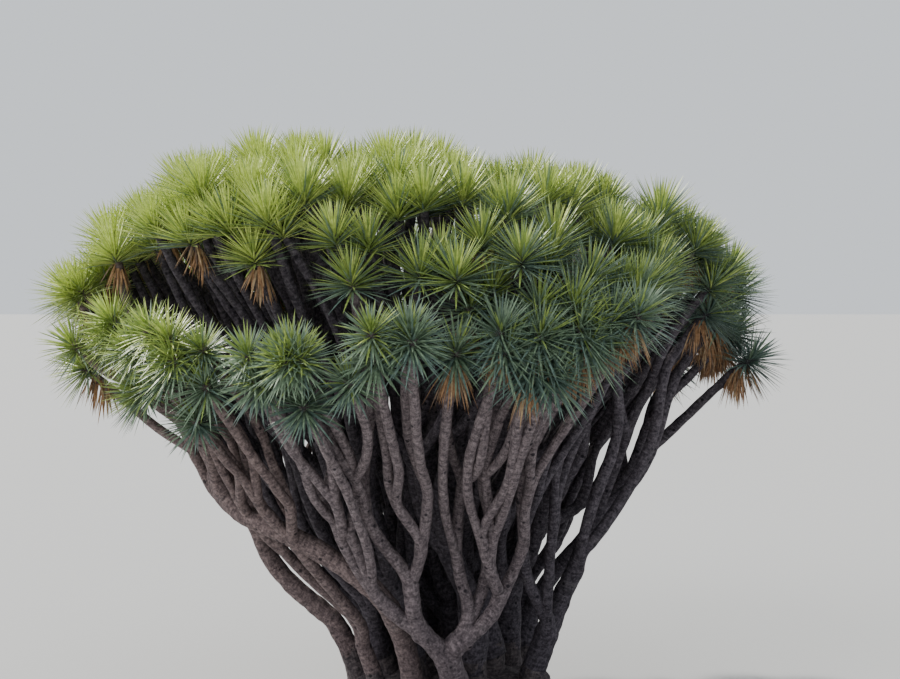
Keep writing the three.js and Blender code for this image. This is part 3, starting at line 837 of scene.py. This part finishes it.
# Twigs
# Past the boughs the same stems go on forking, ever thinner, and the last of them carry one
# rosette of leaves each. The rim's twigs are put in three pieces from left to right, by their
# bough's place across the tree, and the twigs inside the rim in two. Their barks carry painted
# light by that place: painted sunlight at the left, painted half shade in the middle, painted
# shade at the right and inside the rim.
TWIG_STEP = 0.06
TWIG_LAP = 0.001
# Each piece's bark is a painted-light copy: painted sunlight, painted half shade or painted shade.
TWIG_PIECES = (
    ("left", ("rim",), -math.inf, HALF_SHADE_PAINTED_FROM, sunlit_painted_bark),
    ("middle", ("rim",), HALF_SHADE_PAINTED_FROM, SHADE_PAINTED_FROM, half_shade_painted_bark),
    ("right", ("rim",), SHADE_PAINTED_FROM, math.inf, shade_painted_bark),
    ("inner", ("middle",), -math.inf, math.inf, shade_painted_bark),
    ("core", ("inner", "top"), -math.inf, math.inf, shade_painted_bark),
)
for part, rings, least, most, own_bark in TWIG_PIECES:
    shapes, names = [], set()
    for limb in limbs:
        bough = limb["bough"]
        here = bough["mass"]["ring"] in rings and least <= bough["turns"][-1]["to"][0] < most
        if here and limb["end"] > bough["end"]:
            shapes.append(limb_part(limb, bough["end"] - TWIG_LAP, limb["end"], TWIG_STEP))
            names.add("foliage_" + bough["mass"]["name"])
    twig_piece = put_piece("twigs_" + part, shapes, own_bark)
    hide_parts(*sorted(names))

# Living leaves
# A rosette of stiff sword-shaped leaves stands at the end of every twig. Each leaf is a keeled
# blade that clasps the twig with its base, and the older ones lower down spread and droop. Those
# on top of the crown stand more upright, and those low at the front are smaller. The leaves' tones
# are painted light: paler on top and at the left as painted sunlight, darker and bluer low down and
# at the right as painted shade, and besides darker with age and spread at random.
LEAVES_PER_ROSETTE = 136
LEAF_LENGTH = 0.43
LEAF_WIDTH = 0.0205
LEAF_STATIONS = np.array([0.0, 0.3, 0.66])
LEAF_WIDTHS = np.array([0.8, 1.0, 0.72])
LEAF_RISE = 0.3
LEAF_KEEL = 0.2
LEAF_DROOP = 0.12
LEAF_SIZES = (0.88, 1.08)
LEAF_LENGTHS = (0.86, 1.06)
LEAF_BREADTHS = (0.85, 1.1)
LEAF_DROOPS = (0.5, 1.5)
DROOP_OF_YOUNGEST = 0.4
STIFFER_ABOVE = 1.2
BLADE_U_STEP = 0.37
ABOVE_HEIGHT = 4.1
ABOVE_SPAN = 1.1
INNERMOST = math.radians(4)
OUTERMOST = math.radians(112)
OUTERMOST_ABOVE = math.radians(70)
UNEVEN_POLAR = 0.06
UPWARDS = (0.25, 1.0)
HEAD_LENGTH = 0.12
HEAD_RADIUS = 0.03
YOUNG_WITHIN = 0.6
YOUNG_SHORTER = 0.25
LOW_FRONT = (-24, 38)
SMALLER_BELOW = 0.28
# How much painted sunlight a rosette gets: more the higher it stands and the further left, less at the
# right. Its leaves' tones run from painted sunlight to painted shade by it, darker with age and spread at
# random.
PAINTED_SUNLIGHT = {"from": 4.2, "left": 0.22, "aside": 0.12, "uneven": 0.12}
LEAF_TONE_BY_PAINTED_LIGHT_AND_AGE = {"first": 2.1, "sunlight": 1.2, "age": (1.0, 0.9), "uneven": (0.4, 0.5)}
MOST_LEAVES = 12000
# Leaf tones as painted light, from painted sunlight through painted shade to painted deep shade; each is a
# pale and a dark colour.
LEAF_TONES_OF_PAINTED_LIGHT = {
    "sunlit": ((0.64, 0.73, 0.22, 1), (0.38, 0.48, 0.1, 1)),
    "bright": ((0.33, 0.43, 0.11, 1), (0.19, 0.275, 0.065, 1)),
    "mid": ((0.225, 0.31, 0.2, 1), (0.12, 0.185, 0.12, 1)),
    "shade": ((0.165, 0.24, 0.2, 1), (0.075, 0.125, 0.105, 1)),
    "deep": ((0.075, 0.11, 0.093, 1), (0.035, 0.057, 0.05, 1)),
}


def leaf_blades(base, way, across, length, width, droop):
    """Keeled blades: at each station the edges lie half a width either side of a line that leaves
    the base along its way and sinks with the square of the distance, and the keel below it."""
    count = len(base)
    up = np.cross(way, across)
    t = np.append(LEAF_STATIONS, 1.0)
    line = base[:, None] + way[:, None] * (length[:, None] * t)[:, :, None]
    level = np.hypot(way[:, 0], way[:, 1])
    line[:, :, 2] -= (droop * length * level)[:, None] * t**2
    half = (width[:, None] * LEAF_WIDTHS / 2)[:, :, None]
    mid = line[:, :3]
    rise = up[:, None] * half * LEAF_RISE
    left = mid - across[:, None] * half + rise
    right = mid + across[:, None] * half + rise
    keel = mid - up[:, None] * half * 2 * LEAF_KEEL
    rings = np.stack((left, keel, right), axis=2).reshape(count, 9, 3)
    points = np.concatenate((rings, line[:, 3:]), axis=1).reshape(-1, 3)
    ring = np.arange(2)[:, None] * 3
    k = np.arange(3)
    beside = ring + (k + 1) % 3
    quads = np.stack((ring + k, beside, beside + 3, ring + k + 3), -1).reshape(-1, 4)
    triangles = np.concatenate((np.stack((6 + k, 6 + (k + 1) % 3, np.full(3, 9)), 1), [[0, 2, 1]]))
    offsets = np.arange(count)[:, None, None] * 10
    quads = (quads + offsets).reshape(-1, 4)
    triangles = (triangles + offsets).reshape(-1, 3)
    quad_v = np.array([[t[0], t[0], t[1], t[1]]] * 3 + [[t[1], t[1], t[2], t[2]]] * 3).ravel()
    triangle_v = np.array([[t[2], t[2], 1.0]] * 3 + [[0.0, 0.0, 0.0]]).ravel()
    v = np.concatenate((np.tile(quad_v, count), np.tile(triangle_v, count)))
    blade = np.arange(count)
    u = np.concatenate((np.repeat(blade, len(quad_v)), np.repeat(blade, len(triangle_v))))
    uv = np.stack((u * BLADE_U_STEP % 1, v), axis=1)
    return {"points": points, "quads": quads, "triangles": triangles, "uv": uv}


def make_leaf(name, tones, scale, roughness, gloss):
    """Leaf skin: a ramp from the dark tone to the pale one over the middle of a fine noise."""
    material = bpy.data.materials.new(name)
    material.use_nodes = True
    tree = material.node_tree
    shader = tree.nodes["Principled BSDF"]
    shader.inputs["Roughness"].default_value = roughness
    shader.inputs["Specular IOR Level"].default_value = gloss
    place = tree.nodes.new("ShaderNodeTexCoord")
    fibres = {"Vector": place.outputs["Object"], "Scale": scale, "Detail": 3.0}
    fibres = wire(tree, "ShaderNodeTexNoise", fibres)
    pale, dark = tones
    color = ramp(tree, fibres.outputs["Fac"], [(0.35, dark), (0.65, pale)])
    tree.links.new(color, shader.inputs["Base Color"])
    return material


leaf_draws = np.random.default_rng(23)
leaf_rows = {"base": [], "way": [], "across": [], "length": [], "width": [], "droop": [], "tone": []}
for rosette in rosettes:
    end = np.array([rosette["end"]])
    heart = limb_point(rosette, end)[0]
    ahead, side, across = (vector[0] for vector in limb_frame(rosette, end))
    above = float(np.clip((heart[2] - ABOVE_HEIGHT) / ABOVE_SPAN, 0, 1))
    ahead = ahead + [0, 0, UPWARDS[0] + (UPWARDS[1] - UPWARDS[0]) * above]
    ahead /= np.linalg.norm(ahead)
    side = np.cross(across, ahead)
    side /= np.linalg.norm(side)
    across = np.cross(ahead, side)
    count = LEAVES_PER_ROSETTE
    age = (np.arange(count) + 0.5) / count
    turn = np.arange(count) * GOLDEN_ANGLE + leaf_draws.uniform(0, 7)
    outermost = OUTERMOST + (OUTERMOST_ABOVE - OUTERMOST) * above
    cosine = math.cos(INNERMOST) + (math.cos(outermost) - math.cos(INNERMOST)) * age
    polar = np.arccos(cosine) + leaf_draws.normal(0, UNEVEN_POLAR, count)
    spoke = side * np.cos(turn)[:, None] + across * np.sin(turn)[:, None]
    young = np.clip(1 - polar / YOUNG_WITHIN, 0, 1)
    low_front = (1 - above) * turned(math.atan2(heart[0], -heart[1]), [(*LOW_FRONT, 1)])
    rosette.update(above=above, low_front=low_front)
    size = leaf_draws.uniform(*LEAF_SIZES) * (1 - SMALLER_BELOW * low_front)
    # Painted light: leaves higher up and further left get paler tones as painted sunlight, lower and further
    # right darker and bluer ones as painted shade; older leaves are darker, and the tones spread at random.
    sunlight = heart[2] - PAINTED_SUNLIGHT["from"] - PAINTED_SUNLIGHT["left"] * heart[0] + PAINTED_SUNLIGHT["aside"] * abs(heart[0])
    sunlight += leaf_draws.normal(0, PAINTED_SUNLIGHT["uneven"])
    aged, uneven_tone = [a + b * above for a, b in (LEAF_TONE_BY_PAINTED_LIGHT_AND_AGE["age"], LEAF_TONE_BY_PAINTED_LIGHT_AND_AGE["uneven"])]
    tone = LEAF_TONE_BY_PAINTED_LIGHT_AND_AGE["first"] - LEAF_TONE_BY_PAINTED_LIGHT_AND_AGE["sunlight"] * sunlight + aged * (age - 0.5)
    tone = tone + leaf_draws.normal(0, uneven_tone, count)
    head = spoke * HEAD_RADIUS * np.sin(polar)[:, None] - ahead * (HEAD_LENGTH * age)[:, None]
    droop = LEAF_DROOP * (DROOP_OF_YOUNGEST + age - STIFFER_ABOVE * above)
    length = LEAF_LENGTH * size * (1 - YOUNG_SHORTER * young)
    leaf_rows["base"].append(heart + head)
    leaf_rows["way"].append(ahead * np.cos(polar)[:, None] + spoke * np.sin(polar)[:, None])
    leaf_rows["across"].append(across * np.cos(turn)[:, None] - side * np.sin(turn)[:, None])
    leaf_rows["length"].append(length * leaf_draws.uniform(*LEAF_LENGTHS, count))
    leaf_rows["width"].append(LEAF_WIDTH * leaf_draws.uniform(*LEAF_BREADTHS, count))
    leaf_rows["droop"].append(droop * leaf_draws.uniform(*LEAF_DROOPS, count))
    leaf_rows["tone"].append(np.clip(np.round(tone), 0, len(LEAF_TONES_OF_PAINTED_LIGHT) - 1))
leaf_rows = {name: np.concatenate(rows) for name, rows in leaf_rows.items()}
leaf_painted_light_and_age_tone = leaf_rows.pop("tone").astype(int)

foliage_nodes = ["foliage_" + mass["name"] for mass in masses]
# One leaf material and piece for each tone of painted light.
for number, (tone_name, tones) in enumerate(LEAF_TONES_OF_PAINTED_LIGHT.items()):
    material = make_leaf("leaf_" + tone_name, tones, scale=26.0, roughness=0.44, gloss=0.5)
    chosen = np.flatnonzero(leaf_painted_light_and_age_tone == number)
    parts = math.ceil(len(chosen) / MOST_LEAVES)
    for part in range(parts):
        blades = leaf_blades(**{name: rows[chosen[part::parts]] for name, rows in leaf_rows.items()})
        suffix = f"_{part + 1}" if parts > 1 else ""
        leaves = put_piece("leaves_" + tone_name + suffix, [blades], material, smooth=False)
        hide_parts(*foliage_nodes)

# Dead leaves
# Old leaves wither to orange-brown, hang down round the stem under their rosette like a skirt,
# and drop off in the end. They stay longest under the lowest rosettes at the rim.
SKIRT_LEAVES = 84
SKIRT_LENGTH = 0.36
SKIRT_CHANCE = 0.8
FEWER_SKIRTS = 0.75
SKIRT_FULLNESS = (0.45, 1.1)
THINNER_IN_FRONT = 0.4
THINNER_ABOVE = 0.3
SHORTER_ABOVE = 0.4
SKIRT_SHARES = (0.026, 0.03)
SKIRT_SPREAD = (0.1, 0.75)
SPREAD_BY_AGE = (1.15, 0.6)
SKIRT_LENGTHS = (0.55, 1.15)
LONGER_WHEN_FULL = 0.25
SKIRT_HEAD_RADIUS = 0.045
SKIRT_WIDTHS = (0.016, 0.028)
SKIRT_DROOP = 0.25
SKIRT_SHARES_OF_TONES = (0.5, 0.22, 0.28)
SKIRT_TONES = {
    "rust": ((0.45, 0.265, 0.14, 1), (0.27, 0.145, 0.075, 1)),
    "straw": ((0.5, 0.36, 0.21, 1), (0.32, 0.2, 0.11, 1)),
    "dull": ((0.26, 0.18, 0.12, 1), (0.13, 0.085, 0.06, 1)),
}
skirt_draws = np.random.default_rng(31)
skirt_rows = {"base": [], "way": [], "across": [], "length": [], "width": [], "droop": []}
for rosette in rosettes:
    above, low_front = rosette["above"], rosette["low_front"]
    chance = SKIRT_CHANCE * (1 - FEWER_SKIRTS * above) * (1 - FEWER_SKIRTS * low_front)
    if skirt_draws.random() > chance:
        continue
    fullness = skirt_draws.uniform(*SKIRT_FULLNESS)
    fullness = fullness * (1 - THINNER_IN_FRONT * low_front) * (1 - THINNER_ABOVE * above)
    count = int(SKIRT_LEAVES * fullness)
    age = skirt_draws.uniform(0, 1, count)
    turn = np.arange(count) * GOLDEN_ANGLE
    middle = limb_point(rosette, rosette["end"] - SKIRT_SHARES[0] - SKIRT_SHARES[1] * age)
    spoke = np.stack((np.cos(turn), np.sin(turn), np.zeros(count)), axis=1)
    spread = skirt_draws.uniform(*SKIRT_SPREAD, count) * (SPREAD_BY_AGE[0] - SPREAD_BY_AGE[1] * age)
    way = spoke * spread[:, None] + [0, 0, -1.0]
    way /= np.linalg.norm(way, axis=1, keepdims=True)
    side = np.cross(way, spoke)
    side /= np.linalg.norm(side, axis=1, keepdims=True)
    length = SKIRT_LENGTH * (1 - LONGER_WHEN_FULL + LONGER_WHEN_FULL * fullness)
    length = length * (1 - SHORTER_ABOVE * above)
    skirt_rows["base"].append(middle + spoke * SKIRT_HEAD_RADIUS)
    skirt_rows["way"].append(way)
    skirt_rows["across"].append(side)
    skirt_rows["length"].append(length * skirt_draws.uniform(*SKIRT_LENGTHS, count))
    skirt_rows["width"].append(skirt_draws.uniform(*SKIRT_WIDTHS, count))
    skirt_rows["droop"].append(np.full(count, SKIRT_DROOP))
skirt_rows = {name: np.concatenate(rows) for name, rows in skirt_rows.items()}
skirt_tone = skirt_draws.choice(len(SKIRT_TONES), len(skirt_rows["base"]), p=SKIRT_SHARES_OF_TONES)

for number, (tone_name, tones) in enumerate(SKIRT_TONES.items()):
    material = make_leaf("dead_leaf_" + tone_name, tones, scale=34.0, roughness=0.8, gloss=0.2)
    chosen = skirt_tone == number
    blades = leaf_blades(**{name: rows[chosen] for name, rows in skirt_rows.items()})
    skirts = put_piece("dead_leaves_" + tone_name, [blades], material, smooth=False)
    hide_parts(*foliage_nodes)
